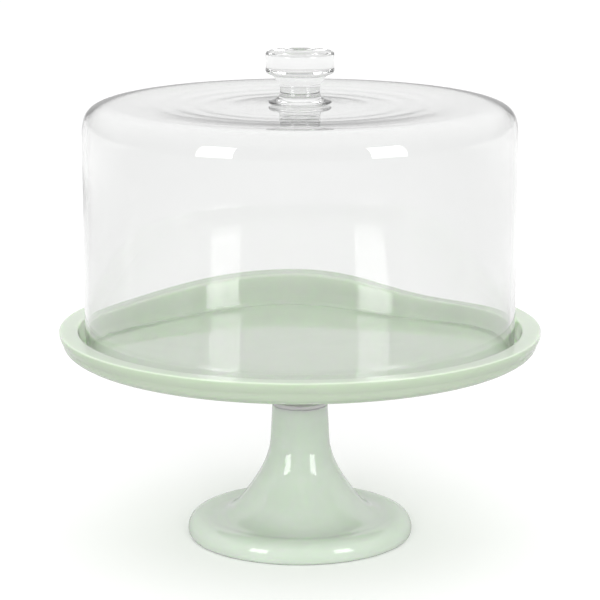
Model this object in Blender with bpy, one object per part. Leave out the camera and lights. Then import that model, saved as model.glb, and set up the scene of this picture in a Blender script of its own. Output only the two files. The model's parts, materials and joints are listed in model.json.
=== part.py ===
"""Cake stand with a lift-off glass dome.

A milky green pressed-glass plate stands on a flared pedestal that is hollow underneath. A clear
blown dome with a solid clear knob rests inside the plate's raised rim and lifts straight off.

The scene is in metres, +Z up, with the origin on the stand's axis, on the surface that the foot
rests on. Sizes and outlines below are in millimetres, and turned() scales them. Every piece is
turned about the Z axis from an outline of (radius, height) points, from the axis to the axis.
"""

import math

import bmesh
import bpy

MM = 0.001
GAP = 0.3  # clearance between faces that rest on, or are joined to, each other

# Pedestal
FOOT_RADIUS = 70.75
FOOT_EDGE_HEIGHT = 4.5  # where the foot is widest
FOOT_CREST = (61.5, 13.9)
FOOT_RING = (61.7, 66.7)  # inner and outer radius of the ring that touches the table
VALLEY = (54.0, 13.4)  # shallow groove between the foot's crest and the bell
BELL = (32.8, 29.5)  # on the flare, where it turns from stem to foot
STEM_FOOT = (18.5, 63.0)
STEM_RADIUS = 17.4
PEDESTAL_HEIGHT = 84.3
PEDESTAL_WALL = 5.5  # over the hollow

# Joining wafer between the pedestal and the plate
WAFER_RADIUS = 17.3
WAFER_THICKNESS = 2.0

# Plate
PLATE_RADIUS = 150.0
RIM_TOP = 134.5
RIM_INNER_RADIUS = 138.2
RIM_DEPTH = 12.9  # from the rim's top to where its outside turns under
RECESS_DEPTH = 13.0
RECESS_FLOOR_RADIUS = 136.2
CAKE_FLOOR_RADIUS = 128.0  # flat part of the floor, inside the dome's edge
SEAT_RISE = 0.15  # how far the floor rises from there to its cove, under the dome's edge
FLOOR_THICKNESS = 7.5  # over the underside's middle ring, outside the boss

# Dome
DOME_RADIUS = 134.0
DOME_WALL = 3.0
DOME_EDGE_ROUND = 1.6  # fire-polished round on the bottom edge
DOME_CURL = (0.7, 11.0)  # how far the bottom edge curls in, and over what height
SHOULDER_DEPTH = 19.0
CROWN_RING = (112.0, 275.0)  # the crown's highest ring, just inside the shoulder
CROWN_DISH = 1.5  # how far the crown dips towards the knob

# Knob
KNOB_TOP = 306.5
KNOB_RADIUS = 21.1
KNOB_HEAD_HEIGHT = 13.4
KNOB_NECK_RADIUS = 12.3
KNOB_BASE_RADIUS = 19.4
KNOB_BOND_RADIUS = 17.5
KNOB_BOND_THICKNESS = 0.5

# Heights that follow from the sizes above
WAFER_BOTTOM = PEDESTAL_HEIGHT + GAP
PLATE_BOTTOM = WAFER_BOTTOM + WAFER_THICKNESS + GAP
RECESS_FLOOR = RIM_TOP - RECESS_DEPTH
SEAT_EDGE = RECESS_FLOOR + SEAT_RISE
DOME_BOTTOM = SEAT_EDGE + GAP
CROWN_CENTRE = CROWN_RING[1] - CROWN_DISH
KNOB_BOND_BOTTOM = CROWN_CENTRE + GAP
KNOB_BOTTOM = KNOB_BOND_BOTTOM + KNOB_BOND_THICKNESS + GAP

LARGE_STEPS = 48  # sides round the plate, the pedestal and the dome
SMALL_STEPS = 32  # sides round the knob and the joining pieces
NEAREST_POINTS = 0.02  # outline points closer than this are one point
SHARP_ANGLE = 40  # degrees; flatter edges are shaded smooth


def clear_scene():
    for old in list(bpy.data.objects):
        bpy.data.objects.remove(old)


def arc(centre, radius, start, end, steps):
    """Points on an arc. Angles are in degrees, from outwards towards up."""
    angles = [math.radians(start + (end - start) * i / steps) for i in range(steps + 1)]
    return [(centre[0] + radius * math.cos(a), centre[1] + radius * math.sin(a)) for a in angles]


def curve(start, pull_start, pull_end, end, steps):
    """Points on a cubic Bezier curve."""
    points = []
    for i in range(steps + 1):
        t = i / steps
        weights = ((1 - t) ** 3, 3 * t * (1 - t) ** 2, 3 * t * t * (1 - t), t ** 3)
        controls = (start, pull_start, pull_end, end)
        points.append(tuple(sum(w * c[k] for w, c in zip(weights, controls)) for k in (0, 1)))
    return points


def without_repeats(outline):
    """The outline with each point dropped that lies on the one before it."""
    kept = [outline[0]]
    for point in outline[1:]:
        if math.dist(point, kept[-1]) > NEAREST_POINTS:
            kept.append(point)
    return kept


def material(name, colour, roughness, transmission=0.0):
    made = bpy.data.materials.new(name)
    made.use_nodes = True
    shader = made.node_tree.nodes["Principled BSDF"]
    shader.inputs["Base Color"].default_value = (*colour, 1.0)
    shader.inputs["Metallic"].default_value = 0.0
    shader.inputs["Roughness"].default_value = roughness
    shader.inputs["Transmission Weight"].default_value = transmission
    made.diffuse_color = (*colour, 1.0)
    return made


def turned(name, outline, steps, finish):
    """A closed solid turned about the Z axis from its outline."""
    bm = bmesh.new()
    section = [bm.verts.new((r * MM, 0.0, z * MM)) for r, z in without_repeats(outline)]
    edges = [bm.edges.new(pair) for pair in zip(section, section[1:])]
    bmesh.ops.spin(bm, geom=section + edges, cent=(0, 0, 0), axis=(0, 0, 1),
                   angle=2 * math.pi, steps=steps, use_merge=True)
    bmesh.ops.remove_doubles(bm, verts=bm.verts, dist=0.001 * MM)
    bmesh.ops.recalc_face_normals(bm, faces=bm.faces)
    mesh = bpy.data.meshes.new(name)
    bm.to_mesh(mesh)
    bm.free()
    mesh.shade_smooth()
    mesh.set_sharp_from_angle(angle=math.radians(SHARP_ANGLE))
    mesh.materials.append(finish)
    piece = bpy.data.objects.new(name, mesh)
    bpy.context.scene.collection.objects.link(piece)
    return piece


def pedestal_outline():
    """Foot with a rounded edge, a bell that flares down into it, and the hollow inside."""
    top_round = 0.8
    widest = (FOOT_RADIUS, FOOT_EDGE_HEIGHT)
    outline = [(0, PEDESTAL_HEIGHT)]
    outline += arc((STEM_RADIUS - top_round, PEDESTAL_HEIGHT - top_round), top_round, 90, 0, 3)
    outline += curve(STEM_FOOT, (18.9, 52), (24.2, 41.2), BELL, 7)
    outline += curve(BELL, (37.5, 23.1), (43.5, VALLEY[1]), VALLEY, 6)
    outline += curve(VALLEY, (56.5, VALLEY[1]), (58.5, FOOT_CREST[1]), FOOT_CREST, 3)
    outline += curve(FOOT_CREST, (66.8, FOOT_CREST[1]), (FOOT_RADIUS, 10), widest, 5)
    outline += curve(widest, (FOOT_RADIUS, 1.6), (69.4, 0), (FOOT_RING[1], 0), 3)

    under_valley = (VALLEY[0] - 1.5, VALLEY[1] - PEDESTAL_WALL)
    bell_hollow = (BELL[0] - 0.8 * PEDESTAL_WALL, BELL[1] - 0.6 * PEDESTAL_WALL)
    stem_hollow = (STEM_FOOT[0] - PEDESTAL_WALL, STEM_FOOT[1] - 2)
    hollow_top = PEDESTAL_HEIGHT - 9
    outline += [(FOOT_RING[0], 0)]
    outline += curve((60.7, 0.5), (60.2, 5), (57, under_valley[1]), under_valley, 3)
    outline += curve(under_valley, (42.5, under_valley[1]), (34, 18.6), bell_hollow, 5)
    outline += curve(bell_hollow, (19.6, 38.1), (13.4, 50), stem_hollow, 5)
    outline += curve((11.4, hollow_top - 5), (11, hollow_top - 1.5), (7, hollow_top), (0, hollow_top), 3)
    return outline


def wafer_outline():
    """Thin glass disc with a half-round edge."""
    half = WAFER_THICKNESS / 2
    edge = arc((WAFER_RADIUS - half, WAFER_BOTTOM + half), half, 90, -90, 4)
    return [(0, WAFER_BOTTOM + WAFER_THICKNESS)] + edge + [(0, WAFER_BOTTOM)]


def plate_outline():
    """Flat floor inside a raised rim, and a trumpet-shaped boss under the middle."""
    cove = 2.2
    lip = 0.9
    inner_edge = RIM_INNER_RADIUS
    outline = [(0, RECESS_FLOOR), (CAKE_FLOOR_RADIUS, RECESS_FLOOR)]
    outline += arc((RECESS_FLOOR_RADIUS - cove, SEAT_EDGE + cove), cove, -90, 0, 3)
    outline += curve((inner_edge, RIM_TOP - 1.4), (inner_edge + 0.2, RIM_TOP - 0.4),
                     (inner_edge + 0.9, RIM_TOP), (inner_edge + 2.6, RIM_TOP), 3)
    outline += arc((PLATE_RADIUS - lip, RIM_TOP - lip), lip, 90, 0, 3)

    wall_bottom = (143.6, RIM_TOP - RIM_DEPTH)
    under_edge = (128, RIM_TOP - 16.9)
    under_middle = (72, RECESS_FLOOR - FLOOR_THICKNESS)
    boss_radius = WAFER_RADIUS - 0.4
    outline += curve((PLATE_RADIUS - 0.4, RIM_TOP - 2), (148.4, RIM_TOP - 5.5),
                     (148, RIM_TOP - 9.6), wall_bottom, 5)
    outline += curve(wall_bottom, (141, RIM_TOP - 14.8), (136, RIM_TOP - 16.2), under_edge, 3)
    outline += curve(under_middle, (38, RIM_TOP - 23), (20.5, PLATE_BOTTOM + 15),
                     (boss_radius, PLATE_BOTTOM + 1), 7)
    return outline + [(boss_radius - 0.8, PLATE_BOTTOM), (0, PLATE_BOTTOM)]


def dome_outline():
    """Straight wall, tight shoulder, shallowly dished crown and a bottom edge that curls in."""
    radius, crown = CROWN_RING
    seat = KNOB_BASE_RADIUS + 3  # flat middle of the crown, under the knob
    curl_in, curl_height = DOME_CURL
    shoulder = crown - SHOULDER_DEPTH
    inner_radius = DOME_RADIUS - DOME_WALL
    inner_crown = crown - DOME_WALL
    inner_centre = CROWN_CENTRE - DOME_WALL
    edge = (DOME_RADIUS - curl_in - DOME_EDGE_ROUND, DOME_BOTTOM + DOME_EDGE_ROUND)
    outline = [(0, CROWN_CENTRE), (seat, CROWN_CENTRE)]
    outline += curve((45, CROWN_CENTRE + 0.1), (75, CROWN_CENTRE + 0.2), (90, crown), (radius, crown), 4)
    outline += curve((radius, crown), (130, crown), (DOME_RADIUS, crown - 5), (DOME_RADIUS, shoulder), 7)
    outline += [(DOME_RADIUS, DOME_BOTTOM + curl_height)]
    outline += arc(edge, DOME_EDGE_ROUND, 0, -180, 4)
    outline += [(inner_radius, DOME_BOTTOM + curl_height)]
    outline += curve((inner_radius, shoulder), (inner_radius, inner_crown - 5),
                     (127.5, inner_crown), (radius, inner_crown), 6)
    outline += curve((radius, inner_crown), (90, inner_crown), (75, inner_centre), (45, inner_centre), 3)
    return outline + [(0, inner_centre)]


def knob_bond_outline():
    """Thin layer of clear bonding glass under the knob."""
    top = KNOB_BOND_BOTTOM + KNOB_BOND_THICKNESS
    return [(0, top), (KNOB_BOND_RADIUS, top), (KNOB_BOND_RADIUS, KNOB_BOND_BOTTOM), (0, KNOB_BOND_BOTTOM)]


def knob_outline():
    """Drum-shaped head with a dished top, a cone, a neck and a flared round base."""
    top_round = 2.0
    base_round = 0.7
    head_bottom = KNOB_TOP - KNOB_HEAD_HEIGHT
    neck_top = head_bottom - 6.2
    neck_bottom = neck_top - 4.9
    outline = curve((0, KNOB_TOP - 1.2), (8, KNOB_TOP - 1.2), (13, KNOB_TOP), (17.6, KNOB_TOP), 3)
    outline += arc((KNOB_RADIUS - top_round, KNOB_TOP - top_round), top_round, 90, 0, 3)
    outline += curve((KNOB_RADIUS, head_bottom + 1.8), (KNOB_RADIUS, head_bottom + 0.4),
                     (20.2, head_bottom), (16.9, head_bottom - 1.2), 3)
    outline += [(KNOB_NECK_RADIUS + 0.6, neck_top), (KNOB_NECK_RADIUS, neck_top - 0.8)]
    outline += curve((KNOB_NECK_RADIUS, neck_bottom), (KNOB_NECK_RADIUS, neck_bottom - 4),
                     (15.5, KNOB_BOTTOM + 1.8), (KNOB_BASE_RADIUS - 0.4, KNOB_BOTTOM + 1.5), 5)
    outline += arc((KNOB_BASE_RADIUS - base_round, KNOB_BOTTOM + base_round), base_round, 30, -90, 3)
    return outline + [(0, KNOB_BOTTOM)]


def build():
    clear_scene()
    milky_green = (0.58, 0.72, 0.56)
    clear = (0.97, 0.98, 0.97)
    pedestal_glass = material("pedestal_glass", milky_green, 0.08)
    wafer_glass = material("wafer_glass", milky_green, 0.12)
    plate_glass = material("plate_glass", milky_green, 0.08)
    dome_glass = material("dome_glass", clear, 0.0, transmission=1.0)
    bond_glass = material("bond_glass", clear, 0.05, transmission=1.0)
    knob_glass = material("knob_glass", clear, 0.0, transmission=1.0)

    turned("pedestal", pedestal_outline(), LARGE_STEPS, pedestal_glass)
    turned("joining_wafer", wafer_outline(), SMALL_STEPS, wafer_glass)
    turned("plate", plate_outline(), LARGE_STEPS, plate_glass)
    turned("dome_shell", dome_outline(), LARGE_STEPS, dome_glass)
    turned("knob_bond", knob_bond_outline(), SMALL_STEPS, bond_glass)
    turned("knob", knob_outline(), SMALL_STEPS, knob_glass)


build()
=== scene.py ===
"""Looks of the cake stand: milky green pressed glass under a clear blown dome.

Each CAD piece is stood for by a finely turned one of the same size, taken from the frame's boxes.
Outlines are (radius, height) points in millimetres, with heights over the table, and turned() scales
them to metres.
"""

import json
import math

import bmesh
import bpy
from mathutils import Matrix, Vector


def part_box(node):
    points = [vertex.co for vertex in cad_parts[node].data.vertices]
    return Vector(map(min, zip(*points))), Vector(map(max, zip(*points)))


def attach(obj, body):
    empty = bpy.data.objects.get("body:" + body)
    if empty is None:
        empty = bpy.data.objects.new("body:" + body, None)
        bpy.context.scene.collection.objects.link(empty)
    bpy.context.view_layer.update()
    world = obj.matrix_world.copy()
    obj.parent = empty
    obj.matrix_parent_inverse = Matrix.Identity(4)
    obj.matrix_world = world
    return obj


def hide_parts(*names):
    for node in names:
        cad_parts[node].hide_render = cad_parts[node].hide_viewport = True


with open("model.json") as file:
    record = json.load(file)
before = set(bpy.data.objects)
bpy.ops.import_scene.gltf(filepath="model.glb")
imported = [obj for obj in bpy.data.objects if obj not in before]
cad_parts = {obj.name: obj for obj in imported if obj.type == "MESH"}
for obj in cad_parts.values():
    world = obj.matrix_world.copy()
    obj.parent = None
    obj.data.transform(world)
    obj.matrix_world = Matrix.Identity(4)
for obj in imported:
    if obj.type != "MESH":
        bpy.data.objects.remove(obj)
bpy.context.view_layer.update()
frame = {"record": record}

MM = 0.001


def reach(node):
    """Outer radius, bottom and top of a CAD node, in millimetres."""
    low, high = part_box(node)
    return high.x / MM, low.z / MM, high.z / MM


FOOT_RADIUS, TABLE, PEDESTAL_TOP = reach("pedestal")
WAFER_RADIUS = reach("joining_wafer")[0]
PLATE_RADIUS, PLATE_BOTTOM, RIM_TOP = reach("plate")
DOME_RADIUS, DOME_BOTTOM, CROWN = reach("dome_shell")
BOND_RADIUS, BOND_BOTTOM, BOND_TOP = reach("knob_bond")
KNOB_RADIUS, KNOB_BOTTOM, KNOB_TOP = reach("knob")

RECESS_FLOOR = RIM_TOP - 13.0
RECESS_FLOOR_RADIUS = 136.2  # foot of the rim's inner wall
FLAT_FLOOR_RADIUS = 128.0
SEAT_RISE = 0.15  # the floor's rise outside that, under the dome's edge
RIM_INNER_RADIUS = 138.2
STEM_RADIUS = 17.4
DOME_WALL = 3.0
CROWN_WALL = 2.0  # the crown is blown thinner than the wall
CROWN_CENTRE = CROWN - 1.5  # the crown dips towards the knob
CROWN_RING = 112.0  # radius of the crown's highest ring
DISH_RADIUS = 45.0  # the crown is almost flat from here inwards
SHOULDER_DROP = 19.0  # from the crown down to the straight wall
KNOB_NECK_RADIUS = 12.3
KNOB_BASE_RADIUS = 19.4
SIDES = 192  # round every turned piece


# ---------------------------------------------------------------- outlines

def arc(centre, radius, start, end, steps=8):
    """Points on an arc. Angles are in degrees, from outwards towards up."""
    angles = [math.radians(start + (end - start) * i / steps) for i in range(steps + 1)]
    return [(centre[0] + radius * math.cos(a), centre[1] + radius * math.sin(a)) for a in angles]


def curve(start, pull_start, pull_end, end, steps=16):
    """Points on a cubic Bezier curve."""
    points = []
    for i in range(steps + 1):
        t = i / steps
        weights = ((1 - t) ** 3, 3 * t * (1 - t) ** 2, 3 * t * t * (1 - t), t ** 3)
        controls = (start, pull_start, pull_end, end)
        points.append(tuple(sum(w * c[k] for w, c in zip(weights, controls)) for k in (0, 1)))
    return points


def line(start, end, steps):
    """Evenly spaced points from start to end."""
    return [(start[0] + (end[0] - start[0]) * i / steps, start[1] + (end[1] - start[1]) * i / steps)
            for i in range(steps + 1)]


def pedestal_outline():
    """Foot with a rounded edge, a bell that flares down into it, and the hollow inside."""
    top_round, inner_edge_round = 0.25, 0.6
    bell, valley, crest = (32.8, 29.5), (54.0, 13.4), (61.5, 13.9)
    widest, rest_edge = (FOOT_RADIUS, 4.5), (66.7, TABLE)
    hollow_edge, hollow_roof = (60.7, 0.5), (52.5, 7.9)
    hollow_bell, hollow_stem, hollow_top = (28.4, 26.2), (13.0, 61.0), 75.3
    outline = [(0, PEDESTAL_TOP)]
    outline += arc((STEM_RADIUS - top_round, PEDESTAL_TOP - top_round), top_round, 90, 0)
    outline += curve((18.5, 63), (18.9, 52), (24.2, 41.2), bell, 32)
    outline += curve(bell, (37.5, 23.1), (43.5, valley[1]), valley, 24)
    outline += curve(valley, (56.5, valley[1]), (58.5, crest[1]), crest)
    outline += curve(crest, (66.8, crest[1]), (FOOT_RADIUS, 10), widest)
    outline += curve(widest, (FOOT_RADIUS, 1.6), (69.4, TABLE), rest_edge)
    outline += arc((61.7, TABLE + inner_edge_round), inner_edge_round, -90, -150, 4)
    outline += curve(hollow_edge, (60.2, 5), (57, hollow_roof[1]), hollow_roof)
    outline += curve(hollow_roof, (42.5, hollow_roof[1]), (34, 18.6), hollow_bell)
    outline += curve(hollow_bell, (19.6, 38.1), (13.4, 50), hollow_stem)
    outline += curve((11.4, 70.3), (11, 73.8), (7, hollow_top), (0, hollow_top))
    return outline


def wafer_outline():
    """Squeezed glass disc that joins the pedestal to the plate, filling the gap between them."""
    clearance = 0.02
    top, bottom = PLATE_BOTTOM - clearance, PEDESTAL_TOP + clearance
    bulge = curve((WAFER_RADIUS - 0.35, top), (WAFER_RADIUS + 0.1, top - 0.5),
                  (WAFER_RADIUS + 0.1, bottom + 0.6), (STEM_RADIUS - 0.25, bottom))
    return [(0, top)] + bulge + [(0, bottom)]


def plate_outline():
    """Flat floor inside a raised rim with a shallow groove, and a trumpet-shaped boss underneath."""
    cove, lip, boss_round = 2.2, 0.9, 0.2
    seat = RECESS_FLOOR + SEAT_RISE
    groove, wall_bottom = (148.0, RIM_TOP - 6.8), (143.6, RIM_TOP - 12.9)
    boss = WAFER_RADIUS - 0.4
    outline = [(0, RECESS_FLOOR), (FLAT_FLOOR_RADIUS, RECESS_FLOOR)]
    outline += arc((RECESS_FLOOR_RADIUS - cove, seat + cove), cove, -90, 0, 12)
    outline += curve((RIM_INNER_RADIUS, RIM_TOP - 1.4), (RIM_INNER_RADIUS + 0.2, RIM_TOP - 0.4),
                     (RIM_INNER_RADIUS + 0.9, RIM_TOP), (RIM_INNER_RADIUS + 2.6, RIM_TOP))
    outline += arc((PLATE_RADIUS - lip, RIM_TOP - lip), lip, 90, 0, 12)
    outline += curve((PLATE_RADIUS, RIM_TOP - 1.8), (PLATE_RADIUS - 0.1, RIM_TOP - 3.6),
                     (148.6, RIM_TOP - 5.6), groove, 16)
    outline += curve(groove, (147.8, RIM_TOP - 8.2), (147.3, RIM_TOP - 11), wall_bottom, 24)
    outline += curve(wall_bottom, (141, RIM_TOP - 14.8), (136, RIM_TOP - 16.2), (128, RIM_TOP - 16.9))
    outline += curve((72, RECESS_FLOOR - 7.5), (38, RIM_TOP - 23), (20.5, PLATE_BOTTOM + 15),
                     (boss, PLATE_BOTTOM + 1), 32)
    outline += arc((boss - boss_round, PLATE_BOTTOM + boss_round), boss_round, 0, -90, 6)
    return outline + [(0, PLATE_BOTTOM)]


def dome_outline():
    """Straight wall, tight shoulder, shallowly dished crown and a bottom edge that curls in."""
    edge_round, curl_in, curl_height = 1.6, 0.7, 11.0
    seat = KNOB_BASE_RADIUS + 3
    inner_radius = DOME_RADIUS - DOME_WALL
    inner_crown, inner_centre = CROWN - CROWN_WALL, CROWN_CENTRE - CROWN_WALL
    dish, ring = (DISH_RADIUS, CROWN_CENTRE + 0.1), (CROWN_RING, CROWN)
    shoulder, curl = (DOME_RADIUS, CROWN - SHOULDER_DROP), (DOME_RADIUS, DOME_BOTTOM + curl_height)
    inner_curl, inner_shoulder = (inner_radius, curl[1]), (inner_radius, shoulder[1])
    inner_ring, inner_dish = (CROWN_RING, inner_crown), (DISH_RADIUS, inner_centre)
    edge = (DOME_RADIUS - curl_in - edge_round, DOME_BOTTOM + edge_round)
    outline = [(0, CROWN_CENTRE)]
    outline += line((seat, CROWN_CENTRE), dish, 12)
    outline += curve(dish, (75, CROWN_CENTRE + 0.2), (90, CROWN), ring, 48)
    outline += curve(ring, (130, CROWN), (DOME_RADIUS, CROWN - 5), shoulder, 32)
    outline += line(shoulder, curl, 40)
    outline += arc(edge, edge_round, 0, -180, 16)
    outline += line(inner_curl, inner_shoulder, 40)
    outline += curve(inner_shoulder, (inner_radius, inner_crown - 5), (128.5, inner_crown), inner_ring, 32)
    outline += curve(inner_ring, (90, inner_crown), (75, inner_centre), inner_dish, 48)
    outline += line(inner_dish, (seat, inner_centre), 12)
    return outline + [(0, inner_centre)]


def bond_outline():
    """Thin clear layer under the knob."""
    return [(0, BOND_TOP), (BOND_RADIUS, BOND_TOP), (BOND_RADIUS, BOND_BOTTOM), (0, BOND_BOTTOM)]


def knob_outline():
    """Drum-shaped head with a dished top, a cone, a neck and a flared round base."""
    top_round, base_round = 2.0, 0.7
    head_bottom = KNOB_TOP - 13.4
    neck_top = head_bottom - 6.2
    neck_bottom = neck_top - 4.9
    outline = curve((0, KNOB_TOP - 1.2), (8, KNOB_TOP - 1.2), (13, KNOB_TOP), (17.6, KNOB_TOP))
    outline += arc((KNOB_RADIUS - top_round, KNOB_TOP - top_round), top_round, 90, 0, 12)
    outline += curve((KNOB_RADIUS, head_bottom + 1.8), (KNOB_RADIUS, head_bottom + 0.4),
                     (20.2, head_bottom), (16.9, head_bottom - 1.2), 12)
    outline += curve((13.4, neck_top + 0.8), (12.9, neck_top + 0.2), (KNOB_NECK_RADIUS, neck_top - 0.1),
                     (KNOB_NECK_RADIUS, neck_top - 0.8), 8)
    outline += curve((KNOB_NECK_RADIUS, neck_bottom), (KNOB_NECK_RADIUS, neck_bottom - 4),
                     (15.5, KNOB_BOTTOM + 1.8), (KNOB_BASE_RADIUS - 0.4, KNOB_BOTTOM + 1.5), 24)
    outline += arc((KNOB_BASE_RADIUS - base_round, KNOB_BOTTOM + base_round), base_round, 30, -90, 10)
    return outline + [(0, KNOB_BOTTOM)]


# ---------------------------------------------------------------- unevenness of blown glass

def bump_shape(x):
    """A smooth hump: 1 at x = 0, falling to 0 at x = -1 and x = 1."""
    return (1 + math.cos(math.pi * x)) / 2 if abs(x) < 1 else 0.0


def wall_swell(z, angle):
    """How far the inside of the dome's wall lies inwards. It swells most in front, facing -Y."""
    front_swell, back_swell, front_half_width = 2.4, 0.6, math.radians(120)
    middle, half_height = 181, 62
    high_side, high_half_width, rise = math.radians(-35), math.radians(60), 22
    wave_depth, wave_middle, wave_half_height = 0.13, 140, 20
    middle += rise * bump_shape((angle - high_side) / high_half_width)
    in_front = bump_shape(math.remainder(angle + math.pi / 2, 2 * math.pi) / front_half_width)
    swell = (back_swell + (front_swell - back_swell) * in_front) * bump_shape((z - middle) / half_height)
    wave = wave_depth * (1 - in_front) * math.sin(z * 0.9 + 2 * math.sin(3 * angle))
    return swell + wave * bump_shape((z - wave_middle) / wave_half_height)


def dome_unevenness(r, z, angle):
    """Where a point of the dome really lies: the wall swells inwards, and the crown is rippled."""
    inner = r < DOME_RADIUS - DOME_WALL + 0.4 and z < CROWN - CROWN_WALL + 0.2
    if inner and z < CROWN - 15 and r > CROWN_RING:
        r -= wall_swell(z, angle)
    if KNOB_BASE_RADIUS + 5 < r < DOME_RADIUS - 12:
        phase, depth = (1.1, 0.016) if inner else (0, 0.013)
        middle, half_width, sag = 62, 40, 0.05
        z -= bump_shape((r - middle) / half_width) * (math.sin(r * 0.42 + phase) * depth + sag)
    return r, z


# ---------------------------------------------------------------- meshes

def turned(name, outline, finish, uneven=None):
    """A closed smooth solid, turned about the Z axis from an outline that starts and ends on it."""
    kept = [p for i, p in enumerate(outline) if i == 0 or math.dist(p, outline[i - 1]) > 1e-4]
    bm = bmesh.new()
    rings = []
    for r, z in kept:
        if r == 0:
            rings.append([bm.verts.new((0, 0, z * MM))] * SIDES)
            continue
        ring = []
        for side in range(SIDES):
            angle = 2 * math.pi * side / SIDES
            new_r, new_z = uneven(r, z, math.remainder(angle, 2 * math.pi)) if uneven else (r, z)
            place = Vector((new_r * math.cos(angle), new_r * math.sin(angle), new_z))
            ring.append(bm.verts.new(place * MM))
        rings.append(ring)
    for upper, lower in zip(rings, rings[1:]):
        for side in range(SIDES):
            after = (side + 1) % SIDES
            corners = [upper[side], lower[side], lower[after], upper[after]]
            bm.faces.new(list(dict.fromkeys(corners)))
    bmesh.ops.recalc_face_normals(bm, faces=bm.faces)
    mesh = bpy.data.meshes.new(name)
    bm.to_mesh(mesh)
    bm.free()
    mesh.shade_smooth()
    mesh.materials.append(finish)
    piece = bpy.data.objects.new(name, mesh)
    bpy.context.scene.collection.objects.link(piece)
    return piece


# ---------------------------------------------------------------- materials

def new_material(name):
    made = bpy.data.materials.new(name)
    made.use_nodes = True
    return made, made.node_tree, made.node_tree.nodes["Principled BSDF"]


def noise_node(tree, scale, detail=2.0, distortion=0.0, stretch=(1, 1, 1)):
    """Noise over the object's own coordinates, in metres."""
    coordinates = tree.nodes.new("ShaderNodeTexCoord")
    mapping = tree.nodes.new("ShaderNodeMapping")
    mapping.inputs["Scale"].default_value = stretch
    made = tree.nodes.new("ShaderNodeTexNoise")
    made.inputs["Scale"].default_value = scale
    made.inputs["Detail"].default_value = detail
    made.inputs["Distortion"].default_value = distortion
    tree.links.new(coordinates.outputs["Object"], mapping.inputs["Vector"])
    tree.links.new(mapping.outputs["Vector"], made.inputs["Vector"])
    return made.outputs["Fac"]


def ranged(tree, value, low, high):
    """The value, mapped from the middle of a noise's range to low..high."""
    made = tree.nodes.new("ShaderNodeMapRange")
    made.inputs["From Min"].default_value = 0.3
    made.inputs["From Max"].default_value = 0.7
    made.inputs["To Min"].default_value = low
    made.inputs["To Max"].default_value = high
    tree.links.new(value, made.inputs["Value"])
    return made.outputs["Result"]


def bumped(tree, height, strength, distance, before=None):
    """A normal bumped by the height, on top of the one before it."""
    made = tree.nodes.new("ShaderNodeBump")
    made.inputs["Strength"].default_value = strength
    made.inputs["Distance"].default_value = distance
    tree.links.new(height, made.inputs["Height"])
    if before:
        tree.links.new(before, made.inputs["Normal"])
    return made.outputs["Normal"]


def share_of(tree, value, start, end):
    """0 where the value, in metres, is at start, and 1 at end. Start and end are in millimetres."""
    made = tree.nodes.new("ShaderNodeMapRange")
    made.inputs["From Min"].default_value = start * MM
    made.inputs["From Max"].default_value = end * MM
    tree.links.new(value, made.inputs["Value"])
    return made.outputs["Result"]


def combined(tree, operation, first, second):
    """Two values put through one Math operation."""
    made = tree.nodes.new("ShaderNodeMath")
    made.operation = operation
    tree.links.new(first, made.inputs[0])
    tree.links.new(second, made.inputs[1])
    return made.outputs["Value"]


def mixed(tree, share, first, second):
    """The first colour where share is 0 and the second where it is 1. Each is a socket or (r, g, b)."""
    made = tree.nodes.new("ShaderNodeMix")
    made.data_type = "RGBA"
    tree.links.new(share, made.inputs["Factor"])
    for socket, colour in (("A", first), ("B", second)):
        if isinstance(colour, tuple):
            made.inputs[socket].default_value = (*colour, 1)
        else:
            tree.links.new(colour, made.inputs[socket])
    return made.outputs["Result"]


def plate_painted_shade_mask(tree):
    """Mask of painted shade: 1 on the plate's outer wall and underside, and 0 on its floor, inner wall and
    the rim's top.
    """
    place = tree.nodes.new("ShaderNodeTexCoord")
    flat = tree.nodes.new("ShaderNodeVectorMath")
    flat.operation = "MULTIPLY"
    flat.inputs[1].default_value = (1, 1, 0)
    length = tree.nodes.new("ShaderNodeVectorMath")
    length.operation = "LENGTH"
    axes = tree.nodes.new("ShaderNodeSeparateXYZ")
    tree.links.new(place.outputs["Object"], flat.inputs[0])
    tree.links.new(flat.outputs["Vector"], length.inputs[0])
    tree.links.new(place.outputs["Object"], axes.inputs["Vector"])
    height = axes.outputs["Z"]
    mid_rim = RIM_INNER_RADIUS + 3.8
    outer = share_of(tree, length.outputs["Value"], mid_rim, mid_rim + 1.5)
    wall = combined(tree, "MULTIPLY", outer, share_of(tree, height, RIM_TOP, RIM_TOP - 1.0))
    under = share_of(tree, height, RECESS_FLOOR - 0.2, RECESS_FLOOR - 0.7)
    return combined(tree, "MAXIMUM", wall, under)


def milky_glass(name, light, deep, painted_shade_colour=None):
    """Dense milky glass: soft swirls of colour, light that soaks in, and a fire-polished gloss.

    The darker colour given for the plate's outer wall and underside, where it differs, is painted shade.
    """
    made, tree, shader = new_material(name)
    swirl = noise_node(tree, 14, detail=3, distortion=1.6, stretch=(1, 1, 2.2))
    colour = mixed(tree, ranged(tree, swirl, 0, 1), light, deep)
    # Painted shade: a darker green on the plate's outer wall and underside.
    if painted_shade_colour:
        colour = mixed(tree, plate_painted_shade_mask(tree), colour, painted_shade_colour)
    tree.links.new(colour, shader.inputs["Base Color"])
    smears = noise_node(tree, 160, detail=4)
    tree.links.new(ranged(tree, smears, 0.02, 0.05), shader.inputs["Roughness"])
    wavy = bumped(tree, noise_node(tree, 30), 0.35, 0.0004)
    grained = bumped(tree, noise_node(tree, 420, detail=3), 0.05, 0.0001, wavy)
    tree.links.new(grained, shader.inputs["Normal"])
    shader.inputs["Subsurface Weight"].default_value = 1.0
    shader.inputs["Subsurface Radius"].default_value = (0.9, 1.2, 0.8)
    shader.inputs["Subsurface Scale"].default_value = 0.006
    shader.inputs["IOR"].default_value = 1.6
    return made


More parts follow.
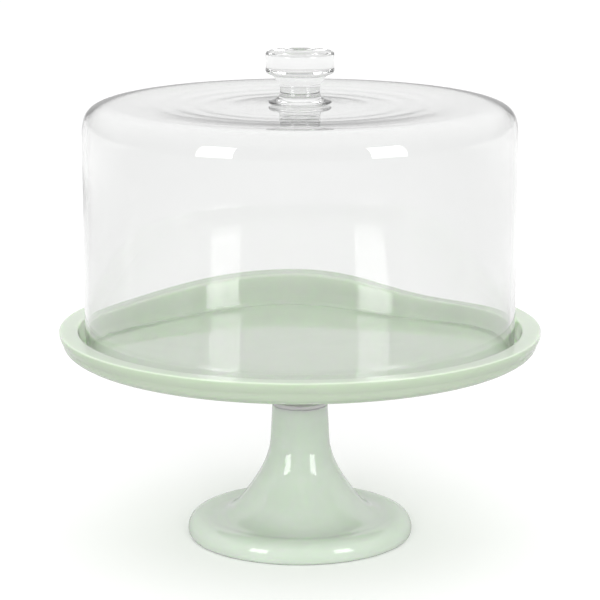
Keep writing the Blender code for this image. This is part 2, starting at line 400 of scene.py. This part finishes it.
def clear_glass(name, tint, waviness):
    """Clear glass, slightly wavy. Lamps shine through it almost undimmed."""
    made, tree, shader = new_material(name)
    shader.inputs["Base Color"].default_value = (*tint, 1)
    shader.inputs["Transmission Weight"].default_value = 1.0
    shader.inputs["IOR"].default_value = 1.5
    shader.inputs["Roughness"].default_value = 0.0
    wavy = bumped(tree, noise_node(tree, 22, detail=1), waviness, 0.0006)
    tree.links.new(wavy, shader.inputs["Normal"])
    for_lamps = tree.nodes.new("ShaderNodeBsdfTransparent")
    for_lamps.inputs["Color"].default_value = (0.98, 0.98, 0.98, 1)
    ray = tree.nodes.new("ShaderNodeLightPath")
    either = tree.nodes.new("ShaderNodeMixShader")
    tree.links.new(ray.outputs["Is Shadow Ray"], either.inputs["Fac"])
    tree.links.new(shader.outputs["BSDF"], either.inputs[1])
    tree.links.new(for_lamps.outputs["BSDF"], either.inputs[2])
    tree.links.new(either.outputs["Shader"], tree.nodes["Material Output"].inputs["Surface"])
    return made


# The wafer's first colour is lighter than the pedestal's glass: painted light that makes up for the shade
# in the narrow joint.
light_green, deep_green, wafer_green_painted_light = (0.63, 0.69, 0.62), (0.59, 0.665, 0.575), (0.69, 0.76, 0.66)
# The plate's third colour is painted shade for its outer wall and underside.
plate_light, plate_deep, painted_shade_green = (0.61, 0.68, 0.575), (0.58, 0.655, 0.545), (0.43, 0.495, 0.395)
clear, solid_clear = (0.90, 0.903, 0.90), (0.87, 0.875, 0.87)
outlines = {
    "pedestal": pedestal_outline(),
    "joining_wafer": wafer_outline(),
    "plate": plate_outline(),
    "dome_shell": dome_outline(),
    "knob_bond": bond_outline(),
    "knob": knob_outline(),
}
finishes = {
    "pedestal": milky_glass("green_pedestal_glass", light_green, deep_green),
    "joining_wafer": milky_glass("green_wafer_glass", wafer_green_painted_light, light_green),
    "plate": milky_glass("green_plate_glass", plate_light, plate_deep, painted_shade_green),
    "dome_shell": clear_glass("clear_blown_glass", clear, 0.02),
    "knob_bond": clear_glass("clear_bond", clear, 0.0),
    "knob": clear_glass("clear_solid_glass", solid_clear, 0.01),
}
body_of = {node: body for body, nodes in frame["record"]["behaviour"]["bodies"].items() for node in nodes}

for node, outline in outlines.items():
    uneven = dome_unevenness if node == "dome_shell" else None
    piece = turned(node + "_glass", outline, finishes[node], uneven)
    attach(piece, body_of[node])
    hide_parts(node)


# ---------------------------------------------------------------- floor, light and camera

def floor():
    """A plain white floor with a faint glow. Where the glass reflects its front half, it is drawn grey:
    painted shade for the dim room in front.
    """
    half = 15.0
    corners = [(-half, -half, 0), (half, -half, 0), (half, half, 0), (-half, half, 0)]
    mesh = bpy.data.meshes.new("floor")
    mesh.from_pydata(corners, [], [(0, 1, 2, 3)])
    made, tree, shader = new_material("white_floor")
    place = tree.nodes.new("ShaderNodeTexCoord")
    axes = tree.nodes.new("ShaderNodeSeparateXYZ")
    tree.links.new(place.outputs["Object"], axes.inputs["Vector"])
    front = share_of(tree, axes.outputs["Y"], 1000, 200)
    ray = tree.nodes.new("ShaderNodeLightPath")
    # Painted shade: the floor's front half turns grey in reflections.
    painted_shade_in_reflections = combined(tree, "MULTIPLY", ray.outputs["Glossy Depth"], front)
    colour = mixed(tree, painted_shade_in_reflections, (0.96, 0.96, 0.96), (0.6, 0.6, 0.6))
    tree.links.new(colour, shader.inputs["Base Color"])
    shader.inputs["Roughness"].default_value = 0.9
    shader.inputs["Specular IOR Level"].default_value = 0.0
    shader.inputs["Emission Color"].default_value = (1, 1, 1, 1)
    shader.inputs["Emission Strength"].default_value = 0.05
    mesh.materials.append(made)
    surface = bpy.data.objects.new("floor", mesh)
    bpy.context.scene.collection.objects.link(surface)


def softbox(name, azimuth, distance, width, height, centre_height, power, glossy=True):
    """An upright softbox that faces the stand. Azimuth 0 is in front, and 90 is to its right.

    A glossy one shows only in reflections. The others only light what is matt or milky.
    """
    lamp = bpy.data.lights.new(name, "AREA")
    lamp.shape = "RECTANGLE"
    lamp.size, lamp.size_y = width, height
    lamp.energy = power
    made = bpy.data.objects.new(name, lamp)
    a = math.radians(azimuth)
    made.location = (distance * math.sin(a), -distance * math.cos(a), centre_height)
    towards = Vector((-made.location.x, -made.location.y, 0))
    made.rotation_mode = "QUATERNION"
    made.rotation_quaternion = towards.to_track_quat("-Z", "Y")
    made.visible_camera = False
    made.visible_diffuse = not glossy
    made.visible_glossy = made.visible_transmission = glossy
    bpy.context.scene.collection.objects.link(made)


def room_light():
    """A white room, brightest behind and above the stand, and dim in front of it."""
    world = bpy.data.worlds.new("room")
    world.use_nodes = True
    bpy.context.scene.world = world
    tree = world.node_tree
    direction = tree.nodes.new("ShaderNodeTexCoord")
    closeness = tree.nodes.new("ShaderNodeVectorMath")
    closeness.operation = "DOT_PRODUCT"
    closeness.inputs[1].default_value = (0, 0.3, 0.954)
    strength = tree.nodes.new("ShaderNodeMapRange")
    strength.interpolation_type = "SMOOTHSTEP"
    strength.inputs["From Min"].default_value = -0.1
    strength.inputs["From Max"].default_value = 1.0
    strength.inputs["To Min"].default_value = 0.6
    strength.inputs["To Max"].default_value = 1.18
    tree.links.new(direction.outputs["Generated"], closeness.inputs[0])
    tree.links.new(closeness.outputs["Value"], strength.inputs["Value"])
    tree.links.new(strength.outputs["Result"], tree.nodes["Background"].inputs["Strength"])
    tree.nodes["Background"].inputs["Color"].default_value = (1, 1, 1, 1)


def camera():
    """In front of the stand, looking down by the pitch in degrees."""
    distance, height, pitch, lens = 1.586, 0.4918, 12.13, 156.1
    made = bpy.data.objects.new("camera", bpy.data.cameras.new("camera"))
    made.data.lens = lens
    made.location = (0, -distance, height)
    made.rotation_euler = (math.radians(90 - pitch), 0, 0)
    bpy.context.scene.collection.objects.link(made)
    bpy.context.scene.camera = made


floor()
for side, azimuth in (("left", -43), ("right", 45)):
    softbox("softbox_" + side, azimuth, 1.6, 0.54, 0.86, 0.68, 8.5)
softbox("front_fill", 0, 4.0, 4.0, 2.0, 1.9, 116, glossy=False)
room_light()
camera()
bpy.context.scene.view_settings.view_transform = "Standard"
